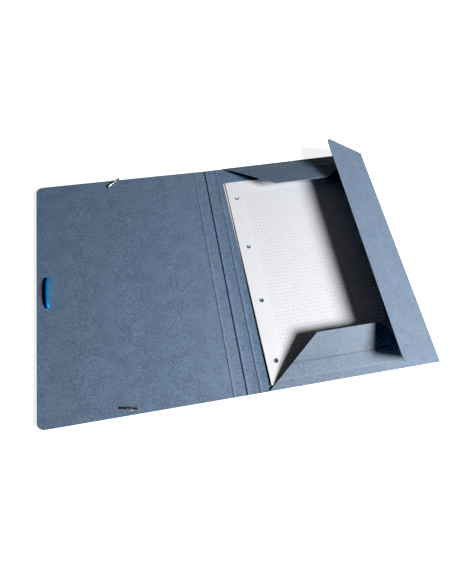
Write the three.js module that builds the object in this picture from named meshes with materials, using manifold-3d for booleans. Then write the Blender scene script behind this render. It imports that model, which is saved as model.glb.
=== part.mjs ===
// Three flap folder of creased board, lying open on a table with a few squared sheets in it.
// Millimetres, Z up. X runs from the spine towards the side flap and Y runs up the page.
// The origin is the centre of the back panel's underside.

import * as THREE from 'three';
import { mergeVertices } from 'three/addons/utils/BufferGeometryUtils.js';
import Module from 'manifold-3d';

const wasm = await Module();
wasm.setup();

// Board
const BOARD = 0.6;
const FOLDER_HEIGHT = 330;
const BACK_WIDTH = 242;
const COVER_WIDTH = 238.5;
const COVER_CORNER_R = 9;
const HALF_CREASE_GAP = 0.15;
const CREASE_SLOPE_WIDTH = 1.1;
const CREASE_DEPTH = 0.38;

// Scores, which are V grooves pressed into the outer face. Beside the spine each one
// also raises a low bead on the inner face.
const SPINE_SCORE_INSET = 16;
const SCORE_WIDTH = 1;
const SCORE_DEPTH = 0.25;
const SCORE_BEAD_WIDTH = 1.4;
const SCORE_BEAD_HEIGHT = 0.28;

// Top and bottom flaps, each bent up at its fold and a little more at two scores
const END_FLAP_WIDTH = 60;
const END_FLAP_RISE = 29;
const END_FLAP_SCORE_1 = 12;
const END_FLAP_SCORE_2 = 28;
const END_FLAP_BEND_1 = 4;
const END_FLAP_BEND_2 = 3;
const END_FLAP_SPINE_INSET = 27;
const END_FLAP_SIDE_INSET = 6;
const END_FLAP_SLANT = 42;
const END_FLAP_CORNER_R = 5;
const FOLD_INNER_R = 0.3;

// Side flap, leaning inwards over the top and bottom flaps
const SIDE_FLAP_WIDTH = 79;
const SIDE_FLAP_LEAN = 33;
const SIDE_FLAP_END_INSET = 1;
const SIDE_FLAP_CORNER_R = 9;
const SIDE_AXIS_INSET = 0.3;
const SIDE_FLAP_GAP = 0.3;

// Elastic cord, threaded through four holes of the cover, and its two metal tips
const CORD_D = 3.2;
const CORD_CLEARANCE = 0.25;
const CORD_SIDES = 8;
const CORD_BEND_R = 2;
const CORD_HOLE_CLEARANCE = 0.4;
const TIP_HOLE_FROM_CREASE = 134;
const TIP_HOLE_FROM_EDGE = 7;
const LOOP_HOLE_FROM_FORE_EDGE = 14.5;
const LOOP_HOLE_SPACING = 40;
const LOOP_HEIGHT = 6.8;
const TIP_LENGTH = 21;
const TIP_R = 1.3;
const TIP_COLLAR_LENGTH = 6;
const TIP_COLLAR_R = 1.7;
const TIP_END_R = 0.8;
const TIP_CHAMFER = 0.8;
const TIP_CLEARANCE = 0.2;
const TIP_TOP_TURN = 38;
const TIP_BOTTOM_TURN = -12;
const TIP_OFFSET = 2.4;

// Sheets, a stack in three slightly skewed steps with four filing holes
const SHEET_WIDTH = 210;
const SHEET_HEIGHT = 297;
const SHEET_HOLE_D = 6;
const SHEET_HOLE_PITCH = 80;
const SHEET_HOLE_COUNT = 4;
const SHEET_HOLE_FROM_EDGE = 12;
const SHEET_TURN = 0.7;
const SHEET_STEP_TURN = 0.25;
const SHEET_STEP_COUNT = 3;
const SHEET_STEP_HEIGHT = 0.3;
const SHEET_STEP_BITE = 0.05;
const SHEET_FROM_CREASE = 28;
const SHEET_FROM_MIDDLE = -9;

// Fineness of the round stretches
const ARC_STEP = 15;
const HOLE_SEGMENTS = 24;
const BEAD_SEGMENTS = 12;
const TIP_SEGMENTS = 20;
const LOOP_STEPS = 14;

// Places worked out from the sizes above
const halfHeight = FOLDER_HEIGHT / 2;
const creaseX = -BACK_WIDTH / 2;
const sideEdgeX = BACK_WIDTH / 2;
const foldOuterR = FOLD_INNER_R + BOARD;
const foldY = halfHeight - foldOuterR;
const sideAxisX = sideEdgeX - SIDE_AXIS_INSET;
const cordR = CORD_D / 2;
const cordDrop = CORD_CLEARANCE + CORD_D;
const coverTilt = Math.atan(cordDrop / TIP_HOLE_FROM_CREASE);
const loopHoleFromCrease = COVER_WIDTH - LOOP_HOLE_FROM_FORE_EDGE;
const tipHoleY = halfHeight - TIP_HOLE_FROM_EDGE;
const loopHoleY = LOOP_HOLE_SPACING / 2;
const cordHoleR = cordR + CORD_HOLE_CLEARANCE;

const rad = THREE.MathUtils.degToRad;

// Materials
const pressboard = new THREE.MeshStandardMaterial({ color: 0x5f7690, roughness: 0.85, metalness: 0 });
const whitePaper = new THREE.MeshStandardMaterial({ color: 0xf1f1f5, roughness: 0.9, metalness: 0 });
const blueElastic = new THREE.MeshStandardMaterial({ color: 0x1478d8, roughness: 0.6, metalness: 0 });
const bareSteel = new THREE.MeshStandardMaterial({ color: 0xb9bcc2, roughness: 0.25, metalness: 1 });

// Closed solids, joined and cut as manifolds and handed back as geometry

function toManifold(geometry) {
  const bare = geometry.clone();
  bare.deleteAttribute('normal');
  bare.deleteAttribute('uv');
  const merged = mergeVertices(bare, 1e-4);
  return new wasm.Manifold(new wasm.Mesh({
    numProp: 3,
    vertProperties: new Float32Array(merged.attributes.position.array),
    triVerts: new Uint32Array(merged.index.array),
  }));
}

function toGeometry(manifold) {
  const mesh = manifold.getMesh();
  const geometry = new THREE.BufferGeometry();
  geometry.setAttribute('position', new THREE.BufferAttribute(new Float32Array(mesh.vertProperties), 3));
  geometry.setIndex(new THREE.BufferAttribute(new Uint32Array(mesh.triVerts), 1));
  geometry.computeVertexNormals();
  return geometry;
}

function namedMesh(name, geometry, material) {
  const mesh = new THREE.Mesh(geometry, material);
  mesh.name = name;
  return mesh;
}

// A flat plate with its underside at z = bottom, cut to a plan outline
function plate(outline, bottom, thickness) {
  const geometry = new THREE.ExtrudeGeometry(outline, {
    depth: thickness,
    bevelEnabled: false,
    curveSegments: HOLE_SEGMENTS,
  });
  return geometry.translate(0, 0, bottom);
}

function roundHole(x, y, radius) {
  const hole = new THREE.Path();
  hole.absarc(x, y, radius, 0, 2 * Math.PI, true);
  return hole;
}

// A bar that runs along Y over the folder's whole height, from its cross-section in X and Z
function barAlongPage(section, curveSegments) {
  const bar = new THREE.ExtrudeGeometry(section, {
    depth: FOLDER_HEIGHT,
    bevelEnabled: false,
    curveSegments,
  });
  return toManifold(bar.rotateX(Math.PI / 2).translate(0, halfHeight, 0));
}

// Presses a score into a board whose underside is at z = bottom
function pressScore(board, x, bottom) {
  const bead = new THREE.Shape();
  bead.absellipse(x, bottom + BOARD, SCORE_BEAD_WIDTH / 2, SCORE_BEAD_HEIGHT, 0, 2 * Math.PI);
  const groove = new THREE.Shape();
  groove.moveTo(x, bottom + SCORE_DEPTH);
  groove.lineTo(x - SCORE_WIDTH, bottom - SCORE_DEPTH);
  groove.lineTo(x + SCORE_WIDTH, bottom - SCORE_DEPTH);
  groove.closePath();
  return board.add(barAlongPage(bead, BEAD_SEGMENTS)).subtract(barAlongPage(groove, 1));
}

// Slopes the back's inner face down to the spine crease, where the board is crushed thin
function pressCrease(board) {
  const slope = new THREE.Shape();
  slope.moveTo(creaseX, BOARD - CREASE_DEPTH);
  slope.lineTo(creaseX + 2 * CREASE_SLOPE_WIDTH, BOARD + CREASE_DEPTH);
  slope.lineTo(creaseX, BOARD + CREASE_DEPTH);
  slope.closePath();
  return board.subtract(barAlongPage(slope, 1));
}

// A board profile, drawn by a pen that follows the board's middle layer.
// Each side of the board is kept as its own list of points.
class BoardPen {
  constructor(x, y, heading) {
    this.x = x;
    this.y = y;
    this.heading = heading;
    this.left = [];
    this.right = [];
    this.mark(BOARD / 2, BOARD / 2);
  }

  mark(leftOffset, rightOffset) {
    const nx = -Math.sin(this.heading);
    const ny = Math.cos(this.heading);
    this.left.push(new THREE.Vector2(this.x + leftOffset * nx, this.y + leftOffset * ny));
    this.right.push(new THREE.Vector2(this.x - rightOffset * nx, this.y - rightOffset * ny));
  }

  run(length) {
    this.x += length * Math.cos(this.heading);
    this.y += length * Math.sin(this.heading);
    this.mark(BOARD / 2, BOARD / 2);
  }

  // Bends to the left about a round inside corner
  bend(angle, innerR) {
    const middleR = innerR + BOARD / 2;
    const steps = Math.max(1, Math.round(angle / rad(ARC_STEP)));
    for (let i = 0; i < steps; i += 1) {
      const before = this.heading;
      this.heading += angle / steps;
      this.x += middleR * (Math.sin(this.heading) - Math.sin(before));
      this.y -= middleR * (Math.cos(this.heading) - Math.cos(before));
      this.mark(BOARD / 2, BOARD / 2);
    }
  }

  // Turns slightly to the left at a score pressed into the right side
  score(angle) {
    this.run(-SCORE_WIDTH / 2);
    this.left.pop();
    this.run(SCORE_WIDTH / 2);
    this.left.pop();
    this.right.pop();
    this.heading += angle / 2;
    this.mark(BOARD / 2, BOARD / 2 - SCORE_DEPTH);
    this.heading += angle / 2;
    this.run(SCORE_WIDTH / 2);
    this.left.pop();
  }

  shape() {
    return new THREE.Shape([...this.right, ...this.left.reverse()]);
  }
}

// Top or bottom flap. side is 1 for the top one and -1 for the bottom one.

function endFlapProfile(side) {
  const bite = foldOuterR;
  const pen = new BoardPen(foldY - bite, BOARD / 2, 0);
  pen.run(bite);
  pen.bend(Math.PI - rad(END_FLAP_RISE), FOLD_INNER_R);
  pen.run(END_FLAP_SCORE_1);
  pen.right.pop();
  pen.left.pop();
  pen.score(rad(END_FLAP_BEND_1));
  pen.run(END_FLAP_SCORE_2 - END_FLAP_SCORE_1 - SCORE_WIDTH / 2);
  pen.right.pop();
  pen.left.pop();
  pen.score(rad(END_FLAP_BEND_2));
  pen.run(END_FLAP_WIDTH - END_FLAP_SCORE_2 - SCORE_WIDTH / 2);
  const profile = pen.shape();
  return new THREE.Shape(profile.getPoints().map((p) => new THREE.Vector2(side * p.x, p.y)));
}

// How far the flap's free edge lies in from its fold, seen from above
function endFlapPlanWidth() {
  const tilt1 = rad(END_FLAP_RISE);
  const tilt2 = tilt1 - rad(END_FLAP_BEND_1);
  const tilt3 = tilt2 - rad(END_FLAP_BEND_2);
  return END_FLAP_SCORE_1 * Math.cos(tilt1)
    + (END_FLAP_SCORE_2 - END_FLAP_SCORE_1) * Math.cos(tilt2)
    + (END_FLAP_WIDTH - END_FLAP_SCORE_2) * Math.cos(tilt3);
}

// The cut of the flap seen from above: both ends slant in, with small round corners
function endFlapOutline(side) {
  const slantRun = END_FLAP_WIDTH / Math.tan(rad(END_FLAP_SLANT));
  const outerY = halfHeight + BOARD;
  const innerY = foldY - endFlapPlanWidth();
  const foldLeft = new THREE.Vector2(creaseX + END_FLAP_SPINE_INSET, foldY);
  const foldRight = new THREE.Vector2(sideEdgeX - END_FLAP_SIDE_INSET, foldY);
  const freeLeft = new THREE.Vector2(foldLeft.x + slantRun, innerY);
  const freeRight = new THREE.Vector2(foldRight.x - slantRun, innerY);
  const outline = new THREE.Shape();
  outline.moveTo(foldLeft.x, side * outerY);
  outline.lineTo(foldLeft.x, side * foldLeft.y);
  roundCorner(outline, foldLeft, freeLeft, freeRight, END_FLAP_CORNER_R, side);
  roundCorner(outline, freeLeft, freeRight, foldRight, END_FLAP_CORNER_R, side);
  outline.lineTo(foldRight.x, side * foldRight.y);
  outline.lineTo(foldRight.x, side * outerY);
  outline.closePath();
  return outline;
}

// Adds one rounded corner to an outline whose Y is multiplied by side.
// The corner lies at b, between the sides a-b and b-c.
function roundCorner(outline, a, b, c, radius, side) {
  const toA = a.clone().sub(b).normalize();
  const toC = c.clone().sub(b).normalize();
  const halfAngle = Math.acos(toA.dot(toC)) / 2;
  const back = radius / Math.tan(halfAngle);
  const from = b.clone().addScaledVector(toA, back);
  const to = b.clone().addScaledVector(toC, back);
  outline.lineTo(from.x, side * from.y);
  outline.quadraticCurveTo(b.x, side * b.y, to.x, side * to.y);
}

function endFlap(side) {
  const strip = new THREE.ExtrudeGeometry(endFlapProfile(side), {
    depth: BACK_WIDTH,
    bevelEnabled: false,
  });
  const alongX = new THREE.Matrix4().makeBasis(
    new THREE.Vector3(0, 1, 0),
    new THREE.Vector3(0, 0, 1),
    new THREE.Vector3(1, 0, 0),
  );
  strip.applyMatrix4(alongX).translate(creaseX, 0, 0);
  const cutter = plate(endFlapOutline(side), -BOARD, END_FLAP_WIDTH);
  return toManifold(strip).intersect(toManifold(cutter));
}

// Back panel: one folded board with the right spine strip and the top and bottom flaps

function backOutline() {
  const left = creaseX + HALF_CREASE_GAP;
  const flapLeft = creaseX + END_FLAP_SPINE_INSET;
  const flapRight = sideEdgeX - END_FLAP_SIDE_INSET;
  return new THREE.Shape([
    new THREE.Vector2(left, -halfHeight),
    new THREE.Vector2(flapLeft, -halfHeight),
    new THREE.Vector2(flapLeft, -foldY),
    new THREE.Vector2(flapRight, -foldY),
    new THREE.Vector2(flapRight, -halfHeight),
    new THREE.Vector2(sideEdgeX, -halfHeight),
    new THREE.Vector2(sideEdgeX, halfHeight),
    new THREE.Vector2(flapRight, halfHeight),
    new THREE.Vector2(flapRight, foldY),
    new THREE.Vector2(flapLeft, foldY),
    new THREE.Vector2(flapLeft, halfHeight),
    new THREE.Vector2(left, halfHeight),
  ]);
}

function backPanel() {
  const flat = toManifold(plate(backOutline(), 0, BOARD));
  const creased = pressCrease(pressScore(flat, creaseX + SPINE_SCORE_INSET, 0));
  const solid = creased.add(endFlap(1)).add(endFlap(-1));
  return namedMesh('back_panel', toGeometry(solid), pressboard);
}

// Front cover with the left spine strip. It is drawn in its own group, whose origin lies
// on the crease at the inner face and whose X points away from the cover.

function coverOutline() {
  const r = COVER_CORNER_R;
  const left = -COVER_WIDTH;
  const right = -HALF_CREASE_GAP;
  const outline = new THREE.Shape();
  outline.moveTo(right, -halfHeight);
  outline.lineTo(right, halfHeight);
  outline.lineTo(left + r, halfHeight);
  outline.absarc(left + r, halfHeight - r, r, Math.PI / 2, Math.PI, false);
  outline.lineTo(left, -halfHeight + r);
  outline.absarc(left + r, -halfHeight + r, r, Math.PI, 1.5 * Math.PI, false);
  outline.closePath();
  for (const side of [1, -1]) {
    outline.holes.push(roundHole(-TIP_HOLE_FROM_CREASE, side * tipHoleY, cordHoleR));
    outline.holes.push(roundHole(-loopHoleFromCrease, side * loopHoleY, cordHoleR));
  }
  return outline;
}

function frontCover() {
  const flat = toManifold(plate(coverOutline(), -BOARD, BOARD));
  const scored = pressScore(flat, -SPINE_SCORE_INSET, -BOARD);
  return namedMesh('front_cover', toGeometry(scored), pressboard);
}

// Elastic cord, in the cover's group: tip, hole, diagonal run on the outer face, hole,
// raised loop on the inner face, and the same again to the other tip.

// A route whose steps follow its own list of points, so that the bends stay round.
// At each point it heads midway between the stretches before and after.
class CordRoute extends THREE.Curve {
  constructor(points) {
    super();
    this.points = points;
  }

  getUtoTmapping(u) {
    return u;
  }

  getPoint(t, target = new THREE.Vector3()) {
    const last = this.points.length - 1;
    const place = Math.min(Math.max(t, 0), 1) * last;
    const i = Math.min(Math.floor(place), last - 1);
    return target.copy(this.points[i]).lerp(this.points[i + 1], place - i);
  }

  getTangent(t, target = new THREE.Vector3()) {
    const last = this.points.length - 1;
    const i = Math.round(t * last);
    target.set(0, 0, 0);
    if (i > 0) target.add(this.points[i].clone().sub(this.points[i - 1]).normalize());
    if (i < last) target.add(this.points[i + 1].clone().sub(this.points[i]).normalize());
    return target.normalize();
  }
}

// The quarter bend between a hole and the outer run. direction points along the run.
function holeBend(hole, direction) {
  const runZ = -BOARD - CORD_CLEARANCE - cordR;
  const points = [];
  for (let angle = 0; angle <= 90; angle += ARC_STEP * 2) {
    const along = CORD_BEND_R * (1 - Math.cos(rad(angle)));
    const down = CORD_BEND_R * Math.sin(rad(angle));
    const point = hole.clone().addScaledVector(direction, along);
    points.push(point.setZ(runZ + CORD_BEND_R - down));
  }
  return points;
}

// The loop over the inner face, from the upper hole to the lower one
function loopArch(x) {
  const startZ = -BOARD - CORD_CLEARANCE - cordR + CORD_BEND_R;
  const points = [];
  for (let i = 1; i < LOOP_STEPS; i += 1) {
    const angle = Math.PI * i / LOOP_STEPS;
    const y = loopHoleY * Math.cos(angle);
    const rise = Math.sqrt(Math.sin(angle));
    points.push(new THREE.Vector3(x, y, startZ + (LOOP_HEIGHT - startZ) * rise));
  }
  return points;
}

function cordRoutePoints() {
  const tipHole = new THREE.Vector3(-TIP_HOLE_FROM_CREASE, tipHoleY, 0);
  const loopHole = new THREE.Vector3(-loopHoleFromCrease, loopHoleY, 0);
  const outward = loopHole.clone().sub(tipHole).normalize();
  const upperRun = [
    tipHole.clone().setZ(0),
    ...holeBend(tipHole, outward),
    ...holeBend(loopHole, outward.clone().negate()).reverse(),
  ];
  const lowerRun = upperRun.map((p) => new THREE.Vector3(p.x, -p.y, p.z)).reverse();
  return [...upperRun, ...loopArch(loopHole.x), ...lowerRun];
}

function elasticCord() {
  const route = new CordRoute(cordRoutePoints());
  const section = new THREE.Shape();
  for (let i = 0; i < CORD_SIDES; i += 1) {
    const angle = 2 * Math.PI * (i + 0.5) / CORD_SIDES;
    const point = [cordR * Math.cos(angle), cordR * Math.sin(angle)];
    if (i === 0) section.moveTo(...point);
    else section.lineTo(...point);
  }
  section.closePath();
  const geometry = new THREE.ExtrudeGeometry(section, {
    steps: route.points.length - 1,
    extrudePath: route,
    bevelEnabled: false,
  });
  return namedMesh('elastic_cord', toGeometry(toManifold(geometry)), blueElastic);
}

// Metal tip: a rolled bar across the hole, with a wider crimped collar that grips the cord
function cordTip(name, side, turn, offset) {
  const half = TIP_LENGTH / 2;
  const collarHalf = TIP_COLLAR_LENGTH / 2;
  const shoulder = TIP_COLLAR_R - TIP_R;
  const profile = [
    [0, -half],
    [TIP_END_R, -half],
    [TIP_R, -half + TIP_CHAMFER],
    [TIP_R, offset - collarHalf - shoulder],
    [TIP_COLLAR_R, offset - collarHalf],
    [TIP_COLLAR_R, offset + collarHalf],
    [TIP_R, offset + collarHalf + shoulder],
    [TIP_R, half - TIP_CHAMFER],
    [TIP_END_R, half],
    [0, half],
  ].map(([r, along]) => new THREE.Vector2(r, along));
  const bar = new THREE.LatheGeometry(profile, TIP_SEGMENTS);
  bar.rotateZ(-Math.PI / 2).translate(-offset, 0, 0);
  const mesh = namedMesh(name, toGeometry(toManifold(bar)), bareSteel);
  mesh.rotation.z = rad(turn);
  mesh.position.set(-TIP_HOLE_FROM_CREASE, side * tipHoleY, TIP_CLEARANCE + TIP_COLLAR_R);
  return mesh;
}

function coverGroup() {
  const group = new THREE.Group();
  group.add(frontCover());
  group.add(elasticCord());
  group.add(cordTip('cord_tip_top', 1, TIP_TOP_TURN, -TIP_OFFSET));
  group.add(cordTip('cord_tip_bottom', -1, TIP_BOTTOM_TURN, TIP_OFFSET));
  group.position.set(creaseX, 0, BOARD);
  group.rotation.y = coverTilt;
  return group;
}

// Side flap, drawn flat and open in its own group, which then turns it in over its fold

function sideFlapOutline() {
  const r = SIDE_FLAP_CORNER_R;
  const half = halfHeight - SIDE_FLAP_END_INSET;
  const near = SIDE_AXIS_INSET + SIDE_FLAP_GAP;
  const far = SIDE_FLAP_WIDTH;
  const outline = new THREE.Shape();
  outline.moveTo(near, half);
  outline.lineTo(near, -half);
  outline.lineTo(far - r, -half);
  outline.absarc(far - r, -half + r, r, -Math.PI / 2, 0, false);
  outline.lineTo(far, half - r);
  outline.absarc(far - r, half - r, r, 0, Math.PI / 2, false);
  outline.closePath();
  return outline;
}

function sideFlapGroup() {
  const group = new THREE.Group();
  group.add(namedMesh('side_flap', plate(sideFlapOutline(), -BOARD, BOARD), pressboard));
  group.position.set(sideAxisX, 0, BOARD);
  group.rotation.y = -rad(180 - SIDE_FLAP_LEAN);
  return group;
}

// Sheets: each step of the stack is turned a little more about its lower left corner

function sheetStep(index) {
  const outline = new THREE.Shape([
    new THREE.Vector2(0, 0),
    new THREE.Vector2(SHEET_WIDTH, 0),
    new THREE.Vector2(SHEET_WIDTH, SHEET_HEIGHT),
    new THREE.Vector2(0, SHEET_HEIGHT),
  ]);
  const firstHole = (SHEET_HEIGHT - SHEET_HOLE_PITCH * (SHEET_HOLE_COUNT - 1)) / 2;
  for (let i = 0; i < SHEET_HOLE_COUNT; i += 1) {
    const y = firstHole + i * SHEET_HOLE_PITCH;
    outline.holes.push(roundHole(SHEET_HOLE_FROM_EDGE, y, SHEET_HOLE_D / 2));
  }
  const below = index === 0 ? 0 : SHEET_STEP_BITE;
  const step = plate(outline, index * SHEET_STEP_HEIGHT - below, SHEET_STEP_HEIGHT + below);
  return step.rotateZ(rad((SHEET_STEP_COUNT - 1 - index) * SHEET_STEP_TURN));
}

function paperSheets() {
  let stack = toManifold(sheetStep(0));
  for (let i = 1; i < SHEET_STEP_COUNT; i += 1) {
    stack = stack.add(toManifold(sheetStep(i)));
  }
  const mesh = namedMesh('paper_sheets', toGeometry(stack), whitePaper);
  const turn = rad(SHEET_TURN);
  const cornerX = SHEET_FROM_CREASE + (SHEET_HEIGHT / 2) * Math.sin(turn);
  const cornerY = SHEET_FROM_MIDDLE - (SHEET_HEIGHT / 2) * Math.cos(turn) - (SHEET_WIDTH / 2) * Math.sin(turn);
  mesh.position.set(creaseX + cornerX, cornerY, BOARD);
  mesh.rotation.z = turn;
  return mesh;
}

const folder = new THREE.Group();
folder.add(backPanel());
folder.add(coverGroup());
folder.add(sideFlapGroup());
folder.add(paperSheets());

export default folder;
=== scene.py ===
"""Looks for a three flap folder: creased pressboard, squared sheets and a braided elastic.

Metres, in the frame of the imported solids: X runs from the spine towards the side flap,
Y up the page and Z up from the table.
"""

import math

import bmesh
import bpy
from bpy.props import FloatProperty, FloatVectorProperty, IntProperty, PointerProperty
from mathutils import Matrix, Vector


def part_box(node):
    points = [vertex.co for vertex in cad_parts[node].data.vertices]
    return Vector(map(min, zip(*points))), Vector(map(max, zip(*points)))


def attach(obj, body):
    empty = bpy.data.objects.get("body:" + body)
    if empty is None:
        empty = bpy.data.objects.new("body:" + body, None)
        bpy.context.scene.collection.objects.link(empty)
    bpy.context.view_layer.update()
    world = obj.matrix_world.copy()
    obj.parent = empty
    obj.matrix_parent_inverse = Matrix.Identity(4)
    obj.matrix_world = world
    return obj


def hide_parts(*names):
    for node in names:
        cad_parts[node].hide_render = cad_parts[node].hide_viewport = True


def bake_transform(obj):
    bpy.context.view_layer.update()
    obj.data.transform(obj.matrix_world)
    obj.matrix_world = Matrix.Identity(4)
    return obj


bl_info = {
    "name": "Three flap folder",
    "version": (1, 0, 0),
    "blender": (4, 5, 0),
    "location": "3D View > Sidebar > Folder",
    "description": "Makes the looks of a pressboard folder with three flaps and squared sheets",
    "category": "Object",
}

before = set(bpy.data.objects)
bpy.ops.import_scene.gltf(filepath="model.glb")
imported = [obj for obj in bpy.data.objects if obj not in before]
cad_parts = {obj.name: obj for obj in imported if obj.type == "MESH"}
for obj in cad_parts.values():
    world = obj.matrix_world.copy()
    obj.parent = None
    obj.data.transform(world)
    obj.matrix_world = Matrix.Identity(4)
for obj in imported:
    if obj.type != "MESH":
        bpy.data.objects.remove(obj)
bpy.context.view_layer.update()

MM = 0.001
BOARD = 0.6 * MM
HALF_CREASE_GAP = 0.15 * MM
CREASE_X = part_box("back_panel")[0].x - HALF_CREASE_GAP
SIDE_EDGE_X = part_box("back_panel")[1].x
HALF_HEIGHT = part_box("front_cover")[1].y
CREASE_FLOOR = 0.27 * MM
SPINE_SCORE_INSET = 16 * MM
END_FLAP_LEFT = CREASE_X + 27 * MM
END_FLAP_SCORES = (10.3 * MM, 26.4 * MM)
SIDE_AXIS_INSET = 0.3 * MM
SIDE_FLAP_GAP = 0.3 * MM
SIDE_FLAP_LEAN = math.radians(33)
SIDE_FLAP_END_INSET = 1 * MM

# Painted sheen: the board is painted paler in a band by the spine, most near the crease, less over the cover
# and none on the back.
SHEEN_COVER = (110 * MM, 15 * MM)
SHEEN_BACK = (2 * MM, 22 * MM)
SHEEN_SHARES = (0.19, 0.40)
# Painted highlight: a pale shoulder to the right of each crease line, where its flank catches the light.
SHOULDER_SHIFT = 2 * MM
SHOULDER_WIDTH = 2.8 * MM

CORD_D = 3.2 * MM
CORD_CLEARANCE = 0.25 * MM
CORD_BEND_R = 2 * MM
TIP_HOLE = Vector((-134 * MM, 158 * MM, 0))
LOOP_HOLE = Vector((-224 * MM, 20 * MM, 0))
LOOP_HEIGHT = 5.4 * MM
TIP_AXIS_HEIGHT = 1.9 * MM
TIP_LENGTH = 20.9 * MM
TIP_R = 1.3 * MM
TIP_COLLAR_R = 1.7 * MM
TIP_COLLAR_LENGTH = 6 * MM
TIP_END_R = 0.8 * MM
TIP_CHAMFER = 0.8 * MM
TIP_OFFSET = 2.4 * MM
TIP_TOP_TURN = math.radians(38)
TIP_BOTTOM_TURN = math.radians(-12)
COVER_TILT = math.atan((CORD_CLEARANCE + CORD_D) / -TIP_HOLE.x)

SHEET_WIDTH = 210 * MM
SHEET_HEIGHT = 297 * MM
SHEET_HOLE_R = 3 * MM
SHEET_HOLE_PITCH = 80 * MM
SHEET_HOLE_COUNT = 4
SHEET_HOLE_FROM_EDGE = 12 * MM
SHEET_TURN = math.radians(0.7)
SHEET_FROM_CREASE = 28 * MM
SHEET_FROM_MIDDLE = -9 * MM
STACK_HEIGHT = 0.9 * MM
SHEET_SHARE_OF_STEP = 0.85
CURL_CUTS = 10
PAGE_CUTS = 9


def length(name, description, default):
    return FloatProperty(name=name, description=description, default=default, unit="LENGTH", precision=5)


def angle(name, description, default):
    return FloatProperty(name=name, description=description, default=math.radians(default), subtype="ANGLE")


def share(name, description, default):
    return FloatProperty(name=name, description=description, default=default, min=0, max=1, subtype="FACTOR")


def colour(name, description, default):
    return FloatVectorProperty(
        name=name, description=description, default=default, size=3, min=0, max=1, subtype="COLOR"
    )


def place(name, description, default):
    return FloatVectorProperty(
        name=name, description=description, default=default, size=3, unit="LENGTH", subtype="XYZ"
    )


class BoardSettings(bpy.types.PropertyGroup):
    tone: colour("Board", "Colour of the pressboard", (0.136, 0.206, 0.310))
    # Painted sheen: this paler, greyer colour on the outer faces stands in for the sheen on the flaps that
    # face the light.
    outer_sheen: colour("Glazed face", "Colour of the outer face, which the flaps show", (0.163, 0.218, 0.290))
    pale: colour("Pale fibres", "Colour of the light fibres in the board", (0.270, 0.360, 0.470))
    deep: colour("Deep fibres", "Colour of the dark fibres in the board", (0.066, 0.106, 0.172))
    cut: colour("Cut edge", "Colour of the cut edges, where the fibres are bare", (0.270, 0.345, 0.430))
    # Painted highlight and sheen, partly scuffed board: the pale shoulder of each crease and the pale band by
    # the spine.
    rub_and_highlight: colour("Worn crease", "Colour of the board where a crease has rubbed pale", (0.250, 0.335, 0.450))
    # Painted shade, partly board pressed flat: the near-black line in each crease and score.
    crushed_and_shaded: colour("Crushed crease", "Colour of the board that a crease has crushed", (0.010, 0.020, 0.042))
    fibre: length("Fibre", "Width of one fibre", 0.0009)
    roughness: share("Roughness", "How matt the board is", 0.50)


class SheetSettings(bpy.types.PropertyGroup):
    count: IntProperty(name="Sheets", description="Number of sheets in the stack", default=8, min=1)
    paper: colour("Paper", "Colour of the sheets", (0.802, 0.810, 0.836))
    ink: colour("Ruling", "Colour of the squared ruling", (0.420, 0.420, 0.560))
    square: length("Square", "Side of one square of the ruling", 0.005)
    line: length("Line", "Width of a ruled line", 0.00028)
    left: length("Left margin", "Bare margin beside the filing holes", 0.025)
    top: length("Top margin", "Bare margin at the top", 0.023)
    skew: angle("Skew", "Turn of the lowest sheet against the top one", 0.5)
    lift: length("Lift", "How far the lower left corner of the top sheet curls up", 0.0017)
    curl: length("Curl", "Width of the curled strip along the left edge", 0.055)
    seed: IntProperty(name="Seed", description="Seed of the small turns of the sheets", default=3)


class ElasticSettings(bpy.types.PropertyGroup):
    yarn: colour("Yarn", "Colour of the braided cover", (0.010, 0.420, 1.000))
    core: colour("Core", "Colour that shows between the yarns", (0.003, 0.035, 0.170))
    yarns: IntProperty(name="Yarns", description="Yarns in each direction of the braid", default=6, min=3)
    pitch: length("Pitch", "Length of one turn of a yarn", 0.009)
    width: length("Yarn width", "Width of one yarn", 0.00115)
    thickness: length("Yarn thickness", "Thickness of one yarn", 0.0003)
    swell: share("Swell", "How much thicker the loop is than the elastic in its holes", 0.5)


class TipSettings(bpy.types.PropertyGroup):
    steel: colour("Steel", "Colour of the bare steel tips", (0.520, 0.505, 0.500))
    sheet: length("Sheet", "Thickness of the rolled steel", 0.00022)
    seam: angle("Seam", "Half the angle that the seam stands open", 7)
    crimp: length("Crimp", "Depth of the crimped rings", 0.0003)


class StageSettings(bpy.types.PropertyGroup):
    eye: place("Camera", "Where the camera stands", (-0.17856, -0.23888, 0.49981))
    aim: place("Aim", "The point on the table that the camera looks at", (-0.12319, -0.03054, 0))
    roll: angle("Roll", "Turn of the camera about its line of sight", 5.262)
    lens: FloatProperty(name="Lens", description="Focal length in millimetres", default=25.859)
    key: place("Key light", "Where the soft key light hangs", (0.718, -0.630, 0.905))
    key_size: length("Key size", "Diameter of the soft key light", 0.48)
    key_power: FloatProperty(
        name="Key power", description="Power of the key light", default=27.3, unit="POWER"
    )
    fill: share("Fill", "Strength of the even light from all round", 0.060)
    backdrop: share("Backdrop", "Brightness of the backdrop above the floor", 0.82)
    glow: share("Floor glow", "Glow of the floor, so that it stays pale", 0.82)
    floor: colour("Floor", "Colour of the floor", (0.92, 0.92, 0.92))
    black: colour("Black", "Light below which the picture is black", (0.016, 0.019, 0.023))


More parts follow.
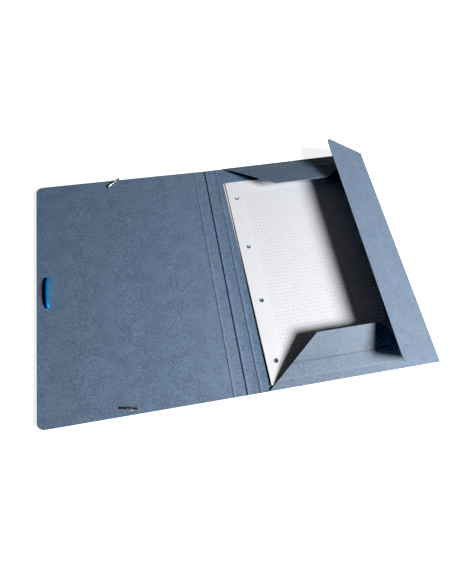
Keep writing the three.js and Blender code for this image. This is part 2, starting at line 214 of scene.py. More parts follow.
class Nodes:
    """Adds nodes to a tree. Each call takes sockets or plain values and hands back the output socket."""

    def __init__(self, tree):
        self.tree = tree

    def add(self, kind, inputs=(), **settings):
        node = self.tree.nodes.new(kind)
        for key, value in settings.items():
            setattr(node, key, value)
        for key, value in dict(inputs).items():
            self.feed(node.inputs[key], value)
        return node

    def feed(self, socket, value):
        if isinstance(value, bpy.types.NodeSocket):
            self.tree.links.new(value, socket)
        else:
            socket.default_value = value

    def calc(self, operation, *values):
        return self.add("ShaderNodeMath", enumerate(values), operation=operation).outputs[0]

    def vector(self, operation, *values):
        return self.add("ShaderNodeVectorMath", enumerate(values), operation=operation).outputs["Vector"]

    def ramp(self, value, low, high, to_low=0.0, to_high=1.0):
        inputs = {"Value": value, "From Min": low, "From Max": high, "To Min": to_low, "To Max": to_high}
        return self.add("ShaderNodeMapRange", inputs, interpolation_type="SMOOTHSTEP").outputs[0]

    def noise(self, where, size, detail=3.0, roughness=0.6):
        inputs = {"Vector": where, "Scale": 1 / size, "Detail": detail, "Roughness": roughness}
        return self.add("ShaderNodeTexNoise", inputs).outputs[0]

    def stretched(self, where, turn, ratio):
        inputs = {"Vector": where, "Rotation": (0, 0, turn), "Scale": (1, ratio, 1)}
        return self.add("ShaderNodeMapping", inputs).outputs[0]

    def mix(self, factor, first, second):
        node = self.add("ShaderNodeMix", data_type="RGBA")
        self.feed(node.inputs[0], factor)
        self.feed(node.inputs[6], first)
        self.feed(node.inputs[7], second)
        return node.outputs[2]


class Finish(Nodes):
    """A procedural material that starts from object coordinates and ends in one shader."""

    def __init__(self, name, **constants):
        self.material = bpy.data.materials.new(name)
        self.material.use_nodes = True
        super().__init__(self.material.node_tree)
        self.shader = self.tree.nodes["Principled BSDF"]
        for key, value in constants.items():
            self.shader.inputs[key.replace("_", " ")].default_value = value
        coordinates = self.add("ShaderNodeTexCoord")
        self.where = coordinates.outputs["Object"]
        self.facing = coordinates.outputs["Normal"]

    def coat(self, colour_socket, roughness_socket, height, strength, depth):
        self.feed(self.shader.inputs["Base Color"], colour_socket)
        self.feed(self.shader.inputs["Roughness"], roughness_socket)
        inputs = {"Height": height, "Strength": strength, "Distance": depth}
        bump = self.add("ShaderNodeBump", inputs)
        self.feed(self.shader.inputs["Normal"], bump.outputs[0])
        return self.material


def opaque(tone):
    return (*tone, 1)


def pressed_line(finish, across, middle, width, strength):
    """How strongly a pressed line marks the board, from its distance to the middle of the line."""
    distance = finish.calc("ABSOLUTE", finish.calc("SUBTRACT", across, middle))
    return finish.ramp(distance, 0.2 * width, 0.75 * width, strength, 0.0)


def folded_over(finish, axes):
    """One on the flaps, which are folded over and show the board's outer face on top."""
    past_crease = finish.calc("GREATER_THAN", axes.outputs["X"], END_FLAP_LEFT)
    return finish.calc("MULTIPLY", past_crease, finish.calc("GREATER_THAN", axes.outputs["Z"], 1.8 * BOARD))


def sheen_share(finish, axes, page_fade):
    """Painted sheen: how strongly the board is painted paler, most by the spine, less over the cover, none on
    the back, fading up the page.
    """
    least, most = SHEEN_SHARES
    far, near = SHEEN_COVER
    start, end = SHEEN_BACK
    cover = finish.ramp(axes.outputs["X"], CREASE_X - far, CREASE_X - near, least, most)
    back = finish.ramp(axes.outputs["X"], CREASE_X + start, CREASE_X + end, most, 0.0)
    return finish.calc("MULTIPLY", finish.calc("MINIMUM", cover, back), page_fade)


def mottled(finish, look, tone, grain, along):
    """The board's tone, clouded and mottled, with pale fibres one way and dark fibres the other."""
    clouds = finish.noise(finish.where, 18 * look.fibre, 3)
    across = finish.noise(finish.stretched(finish.where, 1.2, 0.3), look.fibre, 3, 0.7)
    body = finish.mix(finish.ramp(clouds, 0.35, 0.65, 0.0, 0.27), tone, opaque(look.deep))
    light = finish.mix(finish.ramp(grain, 0.50, 0.66, 0.0, 0.55), body, opaque(look.pale))
    dark = finish.mix(finish.ramp(grain, 0.36, 0.50, 0.70, 0.0), light, opaque(look.deep))
    flecked = finish.mix(finish.ramp(along, 0.56, 0.74, 0.0, 0.5), dark, opaque(look.pale))
    return finish.mix(finish.ramp(across, 0.56, 0.72, 0.0, 0.45), flecked, opaque(look.deep))


def spine_lines(finish, look, tone, axes, page_fade, grain):
    """The spine crease and its two scores: a dark line of painted shade, partly board pressed flat, and a
    pale shoulder of painted highlight beside it, partly scuffed board.
    """
    uneven = finish.calc("MULTIPLY", page_fade, finish.ramp(grain, 0.35, 0.6, 0.45, 1.0))
    faint = finish.calc("MULTIPLY", page_fade, 0.6)
    for middle, width, strength in (
        (CREASE_X + 0.2 * MM, 1.8 * MM, 1.0),
        (CREASE_X - SPINE_SCORE_INSET, 1.2 * MM, faint),
        (CREASE_X + SPINE_SCORE_INSET, 1.4 * MM, faint),
    ):
        # Painted shade on the left of each line and painted highlight on its right, the side the light comes
        # from.
        crushed_and_shaded = pressed_line(finish, axes.outputs["X"], middle - width / 3, width, strength)
        shoulder = middle + SHOULDER_SHIFT
        rub_and_highlight = pressed_line(finish, axes.outputs["X"], shoulder, SHOULDER_WIDTH, 0.6)
        tone = finish.mix(crushed_and_shaded, tone, opaque(look.crushed_and_shaded))
        tone = finish.mix(finish.calc("MULTIPLY", rub_and_highlight, uneven), tone, opaque(look.rub_and_highlight))
    return tone


def flap_lines(finish, look, tone, axes, end_flap):
    """The two scores across each end flap: a pale line of painted highlight at one and a dark line of painted
    shade at the other, where the flap bends.
    """
    near, far = END_FLAP_SCORES
    from_middle = finish.calc("ABSOLUTE", axes.outputs["Y"])
    rub_and_highlight = pressed_line(finish, from_middle, HALF_HEIGHT - near, 2 * MM, 0.45)
    crushed_and_shaded = pressed_line(finish, from_middle, HALF_HEIGHT - far, 1.4 * MM, 0.3)
    tone = finish.mix(finish.calc("MULTIPLY", rub_and_highlight, end_flap), tone, opaque(look.pale))
    return finish.mix(finish.calc("MULTIPLY", crushed_and_shaded, end_flap), tone, opaque(look.crushed_and_shaded))


def pressboard_finish(look):
    """Mottled board with pale cut edges, creases with painted shade and highlight, a painted sheen by the
    spine and a paler, greyer outer face of painted sheen.
    """
    finish = Finish("Pressboard", Specular_IOR_Level=0.36)
    axes = finish.add("ShaderNodeSeparateXYZ", {0: finish.where})
    faces = finish.add("ShaderNodeSeparateXYZ", {0: finish.facing})
    # The painted sheen and highlights, and the painted shade of the scores, are strongest at the foot of the
    # folder and fade up the page.
    page_fade = finish.ramp(axes.outputs["Y"], -0.9 * HALF_HEIGHT, 0.85 * HALF_HEIGHT, 1.0, 0.35)
    grain = finish.noise(finish.where, 1.7 * look.fibre, 4, 0.7)
    along = finish.noise(finish.stretched(finish.where, 0.15, 0.25), look.fibre, 3, 0.7)
    folded = folded_over(finish, axes)
    underneath = finish.calc("LESS_THAN", faces.outputs["Z"], 0.0)
    outside = finish.calc("ABSOLUTE", finish.calc("SUBTRACT", folded, underneath))
    # Painted sheen: the outer faces take the paler, greyer colour, most at the foot.
    plain = finish.mix(finish.calc("MULTIPLY", outside, page_fade), opaque(look.tone), opaque(look.outer_sheen))
    # Painted sheen: a paler band by the spine.
    sheened = finish.mix(sheen_share(finish, axes, page_fade), plain, opaque(look.rub_and_highlight))
    fibrous = mottled(finish, look, sheened, grain, along)
    creased = spine_lines(finish, look, fibrous, axes, page_fade, grain)
    # The end flaps lean along the page, and the side flap doesn't.
    end_flap = finish.ramp(finish.calc("ABSOLUTE", faces.outputs["Y"]), 0.2, 0.3, 0.0, folded)
    scored = flap_lines(finish, look, creased, axes, end_flap)
    # Faces that stand upright are cut edges.
    edge = finish.ramp(finish.calc("ABSOLUTE", faces.outputs["Z"]), 0.55, 0.70, 1.0, 0.0)
    full = finish.mix(edge, scored, opaque(look.cut))
    gloss = finish.ramp(grain, 0.3, 0.7, look.roughness - 0.06, look.roughness + 0.08)
    height = finish.calc("ADD", along, finish.calc("MULTIPLY", grain, 1.6))
    return finish.coat(full, gloss, height, 0.3, 0.00025)


def sheet_finish(look, corner):
    """White writing paper with a squared ruling that follows the top sheet."""
    finish = Finish("Squared paper", Specular_IOR_Level=0.3)
    own = {"Vector": finish.where, "Location": corner, "Rotation": (0, 0, SHEET_TURN)}
    page = finish.add("ShaderNodeMapping", own, vector_type="TEXTURE").outputs[0]
    axes = finish.add("ShaderNodeSeparateXYZ", {0: page})
    across = finish.calc("SUBTRACT", axes.outputs[0], look.left)
    down = finish.calc("SUBTRACT", SHEET_HEIGHT - look.top, axes.outputs[1])
    lines = []
    for distance in (across, down):
        nearest = finish.calc("PINGPONG", distance, look.square / 2)
        lines.append(finish.ramp(nearest, 0.3 * look.line, 0.7 * look.line, 1.0, 0.0))
    ruled = finish.calc("MAXIMUM", *lines)
    for distance in (across, down):
        ruled = finish.calc("MULTIPLY", ruled, finish.calc("GREATER_THAN", distance, -look.line))
    pulp = finish.noise(finish.where, 0.0012, 4, 0.7)
    cloud = finish.noise(finish.where, 0.012, 2)
    paper = finish.mix(finish.ramp(cloud, 0.3, 0.7, 0.0, 0.05), opaque(look.paper), opaque(look.ink))
    uneven = finish.calc("MULTIPLY", ruled, finish.ramp(pulp, 0.3, 0.6, 0.75, 1.0))
    full = finish.mix(uneven, paper, opaque(look.ink))
    gloss = finish.ramp(pulp, 0.3, 0.7, 0.62, 0.72)
    return finish.coat(full, gloss, pulp, 0.12, 0.0001)


def yarn_finish(name, tone, deep):
    """Twisted yarn with a satin sheen of its own colour."""
    finish = Finish(name, Metallic=0.5, Specular_IOR_Level=0.5)
    hairs = finish.noise(finish.stretched(finish.where, 0.6, 0.35), 0.00022, 3, 0.7)
    full = finish.mix(finish.ramp(hairs, 0.35, 0.55, 0.6, 0.0), opaque(tone), opaque(deep))
    return finish.coat(full, finish.ramp(hairs, 0.3, 0.7, 0.38, 0.52), hairs, 0.35, 0.00008)


def steel_finish(look):
    """Bright rolled steel with fine draw lines."""
    finish = Finish("Rolled steel", Metallic=1.0)
    lines = finish.noise(finish.stretched(finish.where, 0.7, 0.06), 0.00016, 3, 0.7)
    dull = tuple(0.55 * part for part in look.steel)
    full = finish.mix(finish.ramp(lines, 0.35, 0.65, 0.35, 0.0), opaque(look.steel), opaque(dull))
    return finish.coat(full, finish.ramp(lines, 0.3, 0.7, 0.18, 0.30), lines, 0.15, 0.00003)


def floor_finish(look):
    """Pale even floor with a glow that is seen but lights nothing."""
    finish = Finish("Pale floor", Roughness=0.9, Specular_IOR_Level=0.0)
    finish.shader.inputs["Base Color"].default_value = opaque(look.floor)
    finish.shader.inputs["Emission Color"].default_value = (1, 1, 1, 1)
    seen = finish.add("ShaderNodeLightPath").outputs["Is Camera Ray"]
    finish.feed(finish.shader.inputs["Emission Strength"], finish.calc("MULTIPLY", seen, look.glow))
    return finish.material


def show(name, mesh, material=None, sharp=40):
    """Puts a finished mesh into the scene, smooth but for its sharp corners."""
    mesh.name = name
    mesh.shade_smooth()
    mesh.set_sharp_from_angle(angle=math.radians(sharp))
    if material:
        mesh.materials.clear()
        mesh.materials.append(material)
    piece = bpy.data.objects.new(name, mesh)
    bpy.context.scene.collection.objects.link(piece)
    return piece


def mesh_from(points, faces):
    mesh = bpy.data.meshes.new("shape")
    mesh.from_pydata([tuple(point) for point in points], [], faces)
    bm = bmesh.new()
    bm.from_mesh(mesh)
    bmesh.ops.remove_doubles(bm, verts=bm.verts, dist=MM / 1000)
    bmesh.ops.recalc_face_normals(bm, faces=bm.faces)
    bm.to_mesh(mesh)
    bm.free()
    return mesh


def ring_faces(rings):
    """The faces between neighbouring rings of equally many points."""
    size = len(rings[0])
    faces = []
    for r in range(len(rings) - 1):
        for i in range(size):
            j = (i + 1) % size
            a, b = r * size, (r + 1) * size
            faces.append((a + i, a + j, b + j, b + i))
    return faces


def made_by(tree, source, inputs):
    """Runs a node tree on a source object and hands back the result as a plain mesh."""
    modifier = source.modifiers.new("Maker", "NODES")
    modifier.node_group = tree
    sockets = {item.name: item.identifier for item in tree.interface.items_tree if item.in_out == "INPUT"}
    for name, value in inputs.items():
        modifier[sockets[name]] = value
    bpy.context.view_layer.update()
    graph = bpy.context.evaluated_depsgraph_get()
    mesh = bpy.data.meshes.new_from_object(source.evaluated_get(graph), depsgraph=graph)
    source.modifiers.remove(modifier)
    bpy.data.objects.remove(source)
    return mesh


def maker_tree(name, inputs):
    """An empty node tree with one geometry in and out, and named inputs."""
    tree = bpy.data.node_groups.new(name, "GeometryNodeTree")
    tree.interface.new_socket("Source", in_out="INPUT", socket_type="NodeSocketGeometry")
    for label, kind in inputs.items():
        tree.interface.new_socket(label, in_out="INPUT", socket_type=kind)
    tree.interface.new_socket("Result", in_out="OUTPUT", socket_type="NodeSocketGeometry")
    nodes = Nodes(tree)
    return nodes, nodes.add("NodeGroupInput").outputs


def stack_tree():
    """Stacks copies of one sheet, each turned a little, and curls them up along their left edge."""
    nodes, given = maker_tree("Stack of sheets", {
        "Count": "NodeSocketInt",
        "Step": "NodeSocketFloat",
        "Skew": "NodeSocketFloat",
        "Jitter": "NodeSocketFloat",
        "Seed": "NodeSocketInt",
        "Lift": "NodeSocketFloat",
        "Curl": "NodeSocketFloat",
        "Page": "NodeSocketFloat",
        "Material": "NodeSocketMaterial",
    })
    rise = nodes.add("ShaderNodeCombineXYZ", {"Z": given["Step"]}).outputs[0]
    line = nodes.add("GeometryNodeMeshLine", {"Count": given["Count"], "Offset": rise}).outputs[0]
    index = nodes.add("GeometryNodeInputIndex").outputs[0]
    height = nodes.calc("DIVIDE", index, nodes.calc("SUBTRACT", given["Count"], 1))
    depth = nodes.calc("SUBTRACT", 1, height)
    chance = nodes.add("FunctionNodeRandomValue", data_type="FLOAT")
    nodes.feed(chance.inputs["Seed"], given["Seed"])
    wobble = nodes.calc("MULTIPLY", nodes.calc("MULTIPLY", chance.outputs[1], depth), given["Jitter"])
    turn = nodes.calc("ADD", nodes.calc("MULTIPLY", nodes.calc("POWER", depth, 3), given["Skew"]), wobble)
    spin = nodes.add("ShaderNodeCombineXYZ", {"Z": turn}).outputs[0]
    inputs = {"Points": line, "Instance": given["Source"], "Rotation": spin}
    copies = nodes.add("GeometryNodeInstanceOnPoints", inputs).outputs[0]
    real = nodes.add("GeometryNodeRealizeInstances", {0: copies}).outputs[0]
    where = nodes.add("GeometryNodeInputPosition").outputs[0]
    axes = nodes.add("ShaderNodeSeparateXYZ", {0: where}).outputs
    stack = nodes.calc("MULTIPLY", given["Count"], given["Step"])
    by_edge = nodes.ramp(axes["X"], 0, given["Curl"], 1, 0)
    by_foot = nodes.ramp(axes["Y"], 0, given["Page"], 1, 0.35)
    by_height = nodes.ramp(axes["Z"], 0, stack, 0, 1)
    lift = given["Lift"]
    for part in (by_edge, by_foot, by_height):
        lift = nodes.calc("MULTIPLY", lift, part)
    up = nodes.add("ShaderNodeCombineXYZ", {"Z": lift}).outputs[0]
    curled = nodes.add("GeometryNodeSetPosition", {"Geometry": real, "Offset": up}).outputs[0]
    inputs = {"Geometry": curled, "Material": given["Material"]}
    result = nodes.add("GeometryNodeSetMaterial", inputs).outputs[0]
    nodes.add("NodeGroupOutput", {0: result})
    return nodes.tree


def braid_tree():
    """Braids flat yarns round a path, each passing over and under those that turn the other way."""
    nodes, given = maker_tree("Braid along a path", {
        "Yarns": "NodeSocketInt",
        "Pitch": "NodeSocketFloat",
        "Middle radius": "NodeSocketFloat",
        "Swing": "NodeSocketFloat",
        "Yarn width": "NodeSocketFloat",
        "Yarn thickness": "NodeSocketFloat",
        "Core radius": "NodeSocketFloat",
        "Step": "NodeSocketFloat",
        "Yarn": "NodeSocketMaterial",
        "Core": "NodeSocketMaterial",
    })
    inputs = {"Curve": given["Source"], "Length": given["Step"]}
    even = nodes.add("GeometryNodeResampleCurve", inputs, mode="LENGTH").outputs[0]
    path = nodes.add("GeometryNodeSetCurveNormal", {"Curve": even}).outputs[0]
    amount = nodes.calc("MULTIPLY", given["Yarns"], 2)
    copies = nodes.add("GeometryNodeDuplicateElements", {"Geometry": path, "Amount": amount}, domain="SPLINE")
    number = copies.outputs["Duplicate Index"]
    way = nodes.calc("SUBTRACT", nodes.calc("MULTIPLY", nodes.calc("MODULO", number, 2), 2), 1)
    start = nodes.calc("DIVIDE", nodes.calc("FLOOR", nodes.calc("DIVIDE", number, 2)), given["Yarns"])
    along = nodes.add("GeometryNodeSplineParameter").outputs["Length"]
    turns = nodes.calc("DIVIDE", along, given["Pitch"])
    phase = nodes.calc("ADD", nodes.calc("MULTIPLY", turns, way), start)
    around = nodes.calc("MULTIPLY", phase, math.tau)
    normal = nodes.add("GeometryNodeInputNormal").outputs[0]
    tangent = nodes.add("GeometryNodeInputTangent").outputs[0]
    side = nodes.vector("CROSS_PRODUCT", tangent, normal)
    parts = []
    for axis, wave in ((normal, "COSINE"), (side, "SINE")):
        spread = nodes.add("ShaderNodeVectorMath", {0: axis}, operation="SCALE")
        nodes.feed(spread.inputs["Scale"], nodes.calc(wave, around))
        parts.append(spread.outputs[0])
    outward = nodes.vector("ADD", *parts)
    crossings = nodes.calc("MULTIPLY", nodes.calc("MULTIPLY", turns, given["Yarns"]), math.tau)
    side_of_weave = nodes.calc("MULTIPLY", nodes.calc("COSINE", crossings), way)
    weave = nodes.calc("MULTIPLY", side_of_weave, given["Swing"])
    swell = nodes.add("GeometryNodeInputRadius").outputs[0]
    radius = nodes.calc("MULTIPLY", nodes.calc("ADD", weave, given["Middle radius"]), swell)
    hold = nodes.add("GeometryNodeCaptureAttribute")
    hold.capture_items.new("VECTOR", "Outward")
    nodes.feed(hold.inputs[0], copies.outputs[0])
    nodes.feed(hold.inputs[1], outward)
    offset = nodes.add("ShaderNodeVectorMath", {0: hold.outputs[1]}, operation="SCALE")
    nodes.feed(offset.inputs["Scale"], radius)
    inputs = {"Geometry": hold.outputs[0], "Offset": offset.outputs[0]}
    moved = nodes.add("GeometryNodeSetPosition", inputs).outputs[0]
    inputs = {"Curve": moved, "Normal": hold.outputs[1]}
    flat = nodes.add("GeometryNodeSetCurveNormal", inputs, mode="FREE").outputs[0]
    ring = nodes.add("GeometryNodeCurvePrimitiveCircle", {"Resolution": 6, "Radius": 0.5}).outputs[0]
    thin = nodes.add("ShaderNodeCombineXYZ", {0: given["Yarn thickness"], 1: given["Yarn width"], 2: 1})
    section = nodes.add("GeometryNodeTransform", {"Geometry": ring, "Scale": thin.outputs[0]}).outputs[0]
    inputs = {"Curve": flat, "Profile Curve": section, "Fill Caps": True}
    yarns = nodes.add("GeometryNodeCurveToMesh", inputs).outputs[0]
    inputs = {"Resolution": 10, "Radius": given["Core radius"]}
    disc = nodes.add("GeometryNodeCurvePrimitiveCircle", inputs).outputs[0]
    inputs = {"Curve": path, "Profile Curve": disc, "Fill Caps": True}
    core = nodes.add("GeometryNodeCurveToMesh", inputs).outputs[0]
    mark = nodes.add("GeometryNodeCaptureAttribute", domain="FACE")
    mark.capture_items.new("BOOLEAN", "Is core")
    nodes.feed(mark.inputs[0], core)
    mark.inputs[1].default_value = True
    both = nodes.add("GeometryNodeJoinGeometry")
    nodes.feed(both.inputs[0], yarns)
    nodes.feed(both.inputs[0], mark.outputs[0])
    real = nodes.add("GeometryNodeRealizeInstances", {0: both.outputs[0]}).outputs[0]
    covered = nodes.add("GeometryNodeSetMaterial", {"Geometry": real, "Material": given["Yarn"]}).outputs[0]
    inputs = {"Geometry": covered, "Selection": mark.outputs[1], "Material": given["Core"]}
    result = nodes.add("GeometryNodeSetMaterial", inputs).outputs[0]
    nodes.add("NodeGroupOutput", {0: result})
    return nodes.tree


def cover_place():
    """The cover's own frame: origin on the crease, tilted by the elastic that it rests on."""
    return Matrix.Translation((CREASE_X, 0, BOARD)) @ Matrix.Rotation(COVER_TILT, 4, "Y")


def sheet_corner():
    """The lower left corner of the top sheet, on the board."""
    half_height, half_width = SHEET_HEIGHT / 2, SHEET_WIDTH / 2
    x = CREASE_X + SHEET_FROM_CREASE + half_height * math.sin(SHEET_TURN)
    y = SHEET_FROM_MIDDLE - half_height * math.cos(SHEET_TURN) - half_width * math.sin(SHEET_TURN)
    return Vector((x, y, BOARD))


def hole_bend(hole, direction, steps=6):
    """Quarter bend of the elastic between a hole and its run along the outside."""
    run_height = -BOARD - CORD_CLEARANCE - CORD_D / 2
    points = []
    for i in range(steps + 1):
        bend = math.pi / 2 * i / steps
        point = hole + direction * CORD_BEND_R * (1 - math.cos(bend))
        point.z = run_height + CORD_BEND_R * (1 - math.sin(bend))
        points.append(point)
    return points


def elastic_route(steps=48):
    """Tip, hole, outer run, hole, raised loop on the inside, and the same again."""
    outward = (LOOP_HOLE - TIP_HOLE).normalized()
    start = TIP_HOLE + Vector((0, 0, TIP_AXIS_HEIGHT))
    upper = [start] + hole_bend(TIP_HOLE, outward) + hole_bend(LOOP_HOLE, -outward)[::-1]
    foot = -BOARD - CORD_CLEARANCE - CORD_D / 2 + CORD_BEND_R
    loop = []
    for i in range(1, steps):
        swing = math.pi * i / steps
        height = foot + (LOOP_HEIGHT - foot) * math.sqrt(math.sin(swing))
        loop.append(Vector((LOOP_HOLE.x, LOOP_HOLE.y * math.cos(swing), height)))
    lower = [Vector((point.x, -point.y, point.z)) for point in reversed(upper)]
    return upper + loop + lower


def loop_swell(point, swell):
    """How much thicker the elastic is at a point: squeezed in the holes, and full in the loop."""
    in_loop = abs(point.y) < LOOP_HOLE.y
    return 1 + swell * max(0, point.z) / LOOP_HEIGHT if in_loop else 1


def sheet_mesh(thickness, curl):
    """One punched sheet, lying at the origin by its lower left corner, cut where it has to curl."""
    first = (SHEET_HEIGHT - SHEET_HOLE_PITCH * (SHEET_HOLE_COUNT - 1)) / 2
    corners = [(0, 0), (SHEET_WIDTH, 0), (SHEET_WIDTH, SHEET_HEIGHT), (0, SHEET_HEIGHT)]
    loops = [[Vector((x, y, 0)) for x, y in corners]]
    for i in range(SHEET_HOLE_COUNT):
        centre = Vector((SHEET_HOLE_FROM_EDGE, first + i * SHEET_HOLE_PITCH, 0))
        ring = [Vector((SHEET_HOLE_R, 0, 0)) @ Matrix.Rotation(math.tau * k / 24, 3, "Z") for k in range(24)]
        loops.append([centre + spoke for spoke in ring])
    bm = bmesh.new()
    for loop in loops:
        corners = [bm.verts.new(point) for point in loop]
        for a, b in zip(corners, corners[1:] + corners[:1]):
            bm.edges.new((a, b))
    bmesh.ops.triangle_fill(bm, edges=bm.edges, use_beauty=True, normal=(0, 0, 1))
    across = [((curl * (i + 1) / CURL_CUTS, 0, 0), (1, 0, 0)) for i in range(CURL_CUTS)]
    along = [((0, SHEET_HEIGHT * (i + 1) / (PAGE_CUTS + 1), 0), (0, 1, 0)) for i in range(PAGE_CUTS)]
    for point, normal in across + along:
        cut = bm.verts[:] + bm.edges[:] + bm.faces[:]
        bmesh.ops.bisect_plane(bm, geom=cut, plane_co=point, plane_no=normal)
    raised = bmesh.ops.extrude_face_region(bm, geom=bm.faces[:])
    top = [item for item in raised["geom"] if isinstance(item, bmesh.types.BMVert)]
    bmesh.ops.translate(bm, verts=top, vec=(0, 0, thickness))
    bmesh.ops.recalc_face_normals(bm, faces=bm.faces)
    mesh = bpy.data.meshes.new("sheet")
    bm.to_mesh(mesh)
    bm.free()
    return mesh


def tip_profile(look):
    """Places and outer radii along a rolled tip, with a crimped collar at its middle."""
    half, collar = TIP_LENGTH / 2, TIP_COLLAR_LENGTH / 2
    shoulder = TIP_COLLAR_R - TIP_R
    stations = [(-half, TIP_END_R), (-half + TIP_CHAMFER / 2, TIP_R - TIP_CHAMFER / 5)]
    stations += [(-half + TIP_CHAMFER, TIP_R), (-collar - shoulder, TIP_R), (-collar, TIP_COLLAR_R)]
    for middle in (-collar / 2, collar / 2):
        for shift, depth in ((-0.5, 0), (-0.25, 0.8), (0, 1), (0.25, 0.8), (0.5, 0)):
            stations.append((middle + shift * collar / 2, TIP_COLLAR_R - depth * look.crimp))
    mirrored = [(-along, radius) for along, radius in reversed(stations[:5])]
    return stations + mirrored


def rolled_tip(name, side, turn, offset, look, material):
    """A steel strip rolled round the end of the elastic, with its seam underneath."""
    opening = look.seam
    steps = 36
    rings = []
    for along, radius in tip_profile(look):
        ring = []
        for wall, order in ((radius, 1), (radius - look.sheet, -1)):
            for k in range(steps + 1)[::order]:
                spin = -math.pi / 2 + opening + (math.tau - 2 * opening) * k / steps
                ring.append(Vector((along, wall * math.cos(spin), wall * math.sin(spin))))
        rings.append(ring)
    faces = ring_faces(rings)
    around = len(rings[0])
    for first in (0, around * (len(rings) - 1)):
        for k in range(steps):
            inner = first + around - 1 - k
            faces.append((first + k, first + k + 1, inner - 1, inner))
    mesh = mesh_from([point for ring in rings for point in ring], faces)
    hole = Vector((TIP_HOLE.x, side * TIP_HOLE.y, TIP_AXIS_HEIGHT))
    turned = Matrix.Translation(hole) @ Matrix.Rotation(turn, 4, "Z") @ Matrix.Translation((-offset, 0, 0))
    mesh.transform(cover_place() @ turned)
    return show(name, mesh, material, 35)


def strip_along_page(section, half_length):
    """A long strip with one cross-section, given as (x, z) points."""
    rings = [[(x, y, z) for x, z in section] for y in (-half_length, half_length)]
    size = len(section)
    faces = ring_faces(rings) + [tuple(range(size)), tuple(range(size, 2 * size))]
    return mesh_from(rings[0] + rings[1], faces)


def crease_section(steps=8):
    """Cross-section of the board in the spine crease: full by the cover, pressed thin by the back."""
    under, over = [], []
    for i in range(steps + 1):
        part = i / steps
        x = CREASE_X + HALF_CREASE_GAP * (2 * part - 1)
        under.append((x, 0))
        over.append((x, BOARD + (CREASE_FLOOR - BOARD) * part))
    return under + over[::-1]


def side_fold_section(steps=10):
    """Cross-section of the side fold: a wedge that runs round the fold's axis."""
    turn = math.pi - SIDE_FLAP_LEAN
    near = SIDE_AXIS_INSET
    far = SIDE_AXIS_INSET + SIDE_FLAP_GAP
    starts = [Vector((near, 0)), Vector((near, -BOARD))]
    ends = [Vector((far, 0)), Vector((far, -BOARD))]
    axis = Vector((SIDE_EDGE_X - SIDE_AXIS_INSET, BOARD))
    sides = []
    for start, end in zip(starts, ends):
        line = []
        for i in range(steps + 1):
            part = i / steps
            flat = start.lerp(end, part)
            spin = turn * part
            x = flat.x * math.cos(spin) - flat.y * math.sin(spin)
            z = flat.x * math.sin(spin) + flat.y * math.cos(spin)
            line.append((min(axis.x + x, SIDE_EDGE_X), axis.y + z))
        sides.append(line)
    return sides[1] + sides[0][::-1]


def mounted(piece, body, slot, *nodes):
    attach(piece, body)
    if nodes:
        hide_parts(*nodes)
    return piece


class FOLDER_OT_dress_boards(bpy.types.Operator):
    """Give the back, the cover and the side flap their mottled pressboard"""

    bl_idname = "folder.dress_boards"
    bl_label = "Dress the boards"

    def execute(self, context):
        material = pressboard_finish(context.scene.folder_board)
        for name in ("back_panel", "front_cover", "side_flap"):
            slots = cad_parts[name].data.materials
            slots.clear()
            slots.append(material)
        return {"FINISHED"}


class FOLDER_OT_press_folds(bpy.types.Operator):
    """Fill the spine crease and the side fold with strips of board"""

    bl_idname = "folder.press_folds"
    bl_label = "Press the folds"

    def execute(self, context):
        material = bpy.data.materials["Pressboard"]
        crease = show("spine_crease", strip_along_page(crease_section(), HALF_HEIGHT), material)
        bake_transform(crease)
        fold_length = HALF_HEIGHT - SIDE_FLAP_END_INSET
        fold = show("side_fold", strip_along_page(side_fold_section(), fold_length), material)
        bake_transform(fold)
        return {"FINISHED"}


class FOLDER_OT_lay_sheets(bpy.types.Operator):
    """Lay the stack of punched, squared sheets in the folder"""

    bl_idname = "folder.lay_sheets"
    bl_label = "Lay the sheets"

    def execute(self, context):
        look = context.scene.folder_sheets
        corner = sheet_corner()
        step = STACK_HEIGHT / look.count
        single = show("single_sheet", sheet_mesh(SHEET_SHARE_OF_STEP * step, look.curl))
        mesh = made_by(stack_tree(), single, {
            "Count": look.count,
            "Step": step,
            "Skew": look.skew,
            "Jitter": look.skew / 8,
            "Seed": look.seed,
            "Lift": look.lift,
            "Curl": look.curl,
            "Page": SHEET_HEIGHT,
            "Material": sheet_finish(look, corner),
        })
        mesh.transform(Matrix.Translation(corner) @ Matrix.Rotation(SHEET_TURN, 4, "Z"))
        mounted(show("sheet_stack", mesh), "back", "white_paper", "paper_sheets")
        return {"FINISHED"}


class FOLDER_OT_thread_elastic(bpy.types.Operator):
    """Braid the elastic along its way through the four holes of the cover"""

    bl_idname = "folder.thread_elastic"
    bl_label = "Thread the elastic"

    def execute(self, context):
        look = context.scene.folder_elastic
        points = elastic_route()
        curve = bpy.data.curves.new("elastic_path", "CURVE")
        curve.dimensions = "3D"
        spline = curve.splines.new("POLY")
        spline.points.add(len(points) - 1)
        for knot, point in zip(spline.points, points):
            knot.co = (*(cover_place() @ point), 1)
            knot.radius = loop_swell(point, look.swell)
        path = bpy.data.objects.new("elastic_path", curve)
        context.scene.collection.objects.link(path)
        swing = 0.6 * look.thickness
        middle = CORD_D / 2 - look.thickness / 2 - swing
        mesh = made_by(braid_tree(), path, {
            "Yarns": look.yarns,
            "Pitch": look.pitch,
            "Middle radius": middle,
            "Swing": swing,
            "Yarn width": look.width,
            "Yarn thickness": look.thickness,
            "Core radius": middle - swing / 2,
            "Step": look.pitch / (2 * look.yarns),
            "Yarn": yarn_finish("Blue yarn", look.yarn, look.core),
            "Core": yarn_finish("Elastic core", look.core, (0, 0, 0)),
        })
        mounted(show("braided_elastic", mesh, None, 60), "cover", "blue_elastic", "elastic_cord")
        return {"FINISHED"}


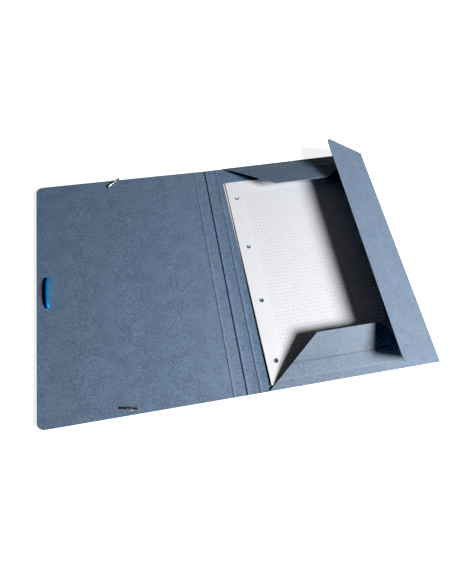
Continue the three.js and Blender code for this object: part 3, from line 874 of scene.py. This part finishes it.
class FOLDER_OT_roll_tips(bpy.types.Operator):
    """Roll the two steel tips round the ends of the elastic"""

    bl_idname = "folder.roll_tips"
    bl_label = "Roll the tips"

    def execute(self, context):
        look = context.scene.folder_tips
        material = steel_finish(look)
        top = rolled_tip("steel_tip_top", 1, TIP_TOP_TURN, -TIP_OFFSET, look, material)
        bottom = rolled_tip("steel_tip_bottom", -1, TIP_BOTTOM_TURN, TIP_OFFSET, look, material)
        mounted(top, "cover", "bare_steel", "cord_tip_top")
        mounted(bottom, "cover", "bare_steel", "cord_tip_bottom")
        return {"FINISHED"}


class FOLDER_OT_set_stage(bpy.types.Operator):
    """Set the pale floor, the soft light and the camera"""

    bl_idname = "folder.set_stage"
    bl_label = "Set the stage"

    def execute(self, context):
        look = context.scene.folder_stage
        self.lay_floor(look)
        self.hang_light(context, look)
        self.light_room(context, look)
        self.place_camera(context, look)
        tones = context.scene.view_settings
        tones.view_transform = "Standard"
        tones.use_curve_mapping = True
        tones.curve_mapping.black_level = look.black
        tones.curve_mapping.update()
        return {"FINISHED"}

    def lay_floor(self, look):
        reach, drop = 30, -0.0002
        corners = [(-reach, -reach, drop), (reach, -reach, drop), (reach, reach, drop), (-reach, reach, drop)]
        floor = show("floor", mesh_from(corners, [(0, 1, 2, 3)]), floor_finish(look))

    def hang_light(self, context, look):
        lamp = bpy.data.lights.new("key", "AREA")
        lamp.shape = "DISK"
        lamp.size = look.key_size
        lamp.energy = look.key_power
        key = bpy.data.objects.new("key", lamp)
        key.location = look.key
        key.rotation_euler = (-Vector(look.key)).to_track_quat("-Z", "Y").to_euler()
        context.scene.collection.objects.link(key)

    def light_room(self, context, look):
        world = bpy.data.worlds.new("Studio")
        world.use_nodes = True
        nodes = Nodes(world.node_tree)
        seen = nodes.add("ShaderNodeLightPath").outputs["Is Camera Ray"]
        strength = nodes.ramp(seen, 0, 1, look.fill, look.backdrop)
        nodes.feed(world.node_tree.nodes["Background"].inputs["Color"], (1, 1, 1, 1))
        nodes.feed(world.node_tree.nodes["Background"].inputs["Strength"], strength)
        context.scene.world = world

    def place_camera(self, context, look):
        lens = bpy.data.cameras.new("camera")
        lens.lens = look.lens
        lens.sensor_width = 36
        lens.clip_start = 0.01
        camera = bpy.data.objects.new("camera", lens)
        sight = Vector(look.aim) - Vector(look.eye)
        turn = sight.to_track_quat("-Z", "Y").to_matrix() @ Matrix.Rotation(look.roll, 3, "Z")
        camera.matrix_world = Matrix.Translation(look.eye) @ turn.to_4x4()
        context.scene.collection.objects.link(camera)
        context.scene.camera = camera


class FOLDER_PT_looks(bpy.types.Panel):
    """Lists the steps that make the folder's looks, with the sizes and colours of each"""

    bl_idname = "FOLDER_PT_looks"
    bl_label = "Three flap folder"
    bl_space_type = "VIEW_3D"
    bl_region_type = "UI"
    bl_category = "Folder"

    def draw(self, context):
        for settings, operators in STEPS.items():
            box = self.layout.box()
            for operator in operators:
                box.operator(operator.bl_idname)
            group = getattr(context.scene, settings)
            for name in type(group).__annotations__:
                box.prop(group, name)


STEPS = {
    "folder_stage": [FOLDER_OT_set_stage],
    "folder_board": [FOLDER_OT_dress_boards, FOLDER_OT_press_folds],
    "folder_sheets": [FOLDER_OT_lay_sheets],
    "folder_elastic": [FOLDER_OT_thread_elastic],
    "folder_tips": [FOLDER_OT_roll_tips],
}
SETTINGS = {
    "folder_stage": StageSettings,
    "folder_board": BoardSettings,
    "folder_sheets": SheetSettings,
    "folder_elastic": ElasticSettings,
    "folder_tips": TipSettings,
}
OPERATORS = [operator for group in STEPS.values() for operator in group]


def register():
    for kind in [*SETTINGS.values(), *OPERATORS, FOLDER_PT_looks]:
        bpy.utils.register_class(kind)
    for name, kind in SETTINGS.items():
        setattr(bpy.types.Scene, name, PointerProperty(type=kind))


def unregister():
    for name in SETTINGS:
        delattr(bpy.types.Scene, name)
    for kind in [FOLDER_PT_looks, *reversed(OPERATORS), *reversed(list(SETTINGS.values()))]:
        bpy.utils.unregister_class(kind)


def main():
    register()
    bpy.ops.folder.set_stage()
    bpy.ops.folder.dress_boards()
    bpy.ops.folder.press_folds()
    bpy.ops.folder.lay_sheets()
    bpy.ops.folder.thread_elastic()
    bpy.ops.folder.roll_tips()


if __name__ == "__main__":
    main()
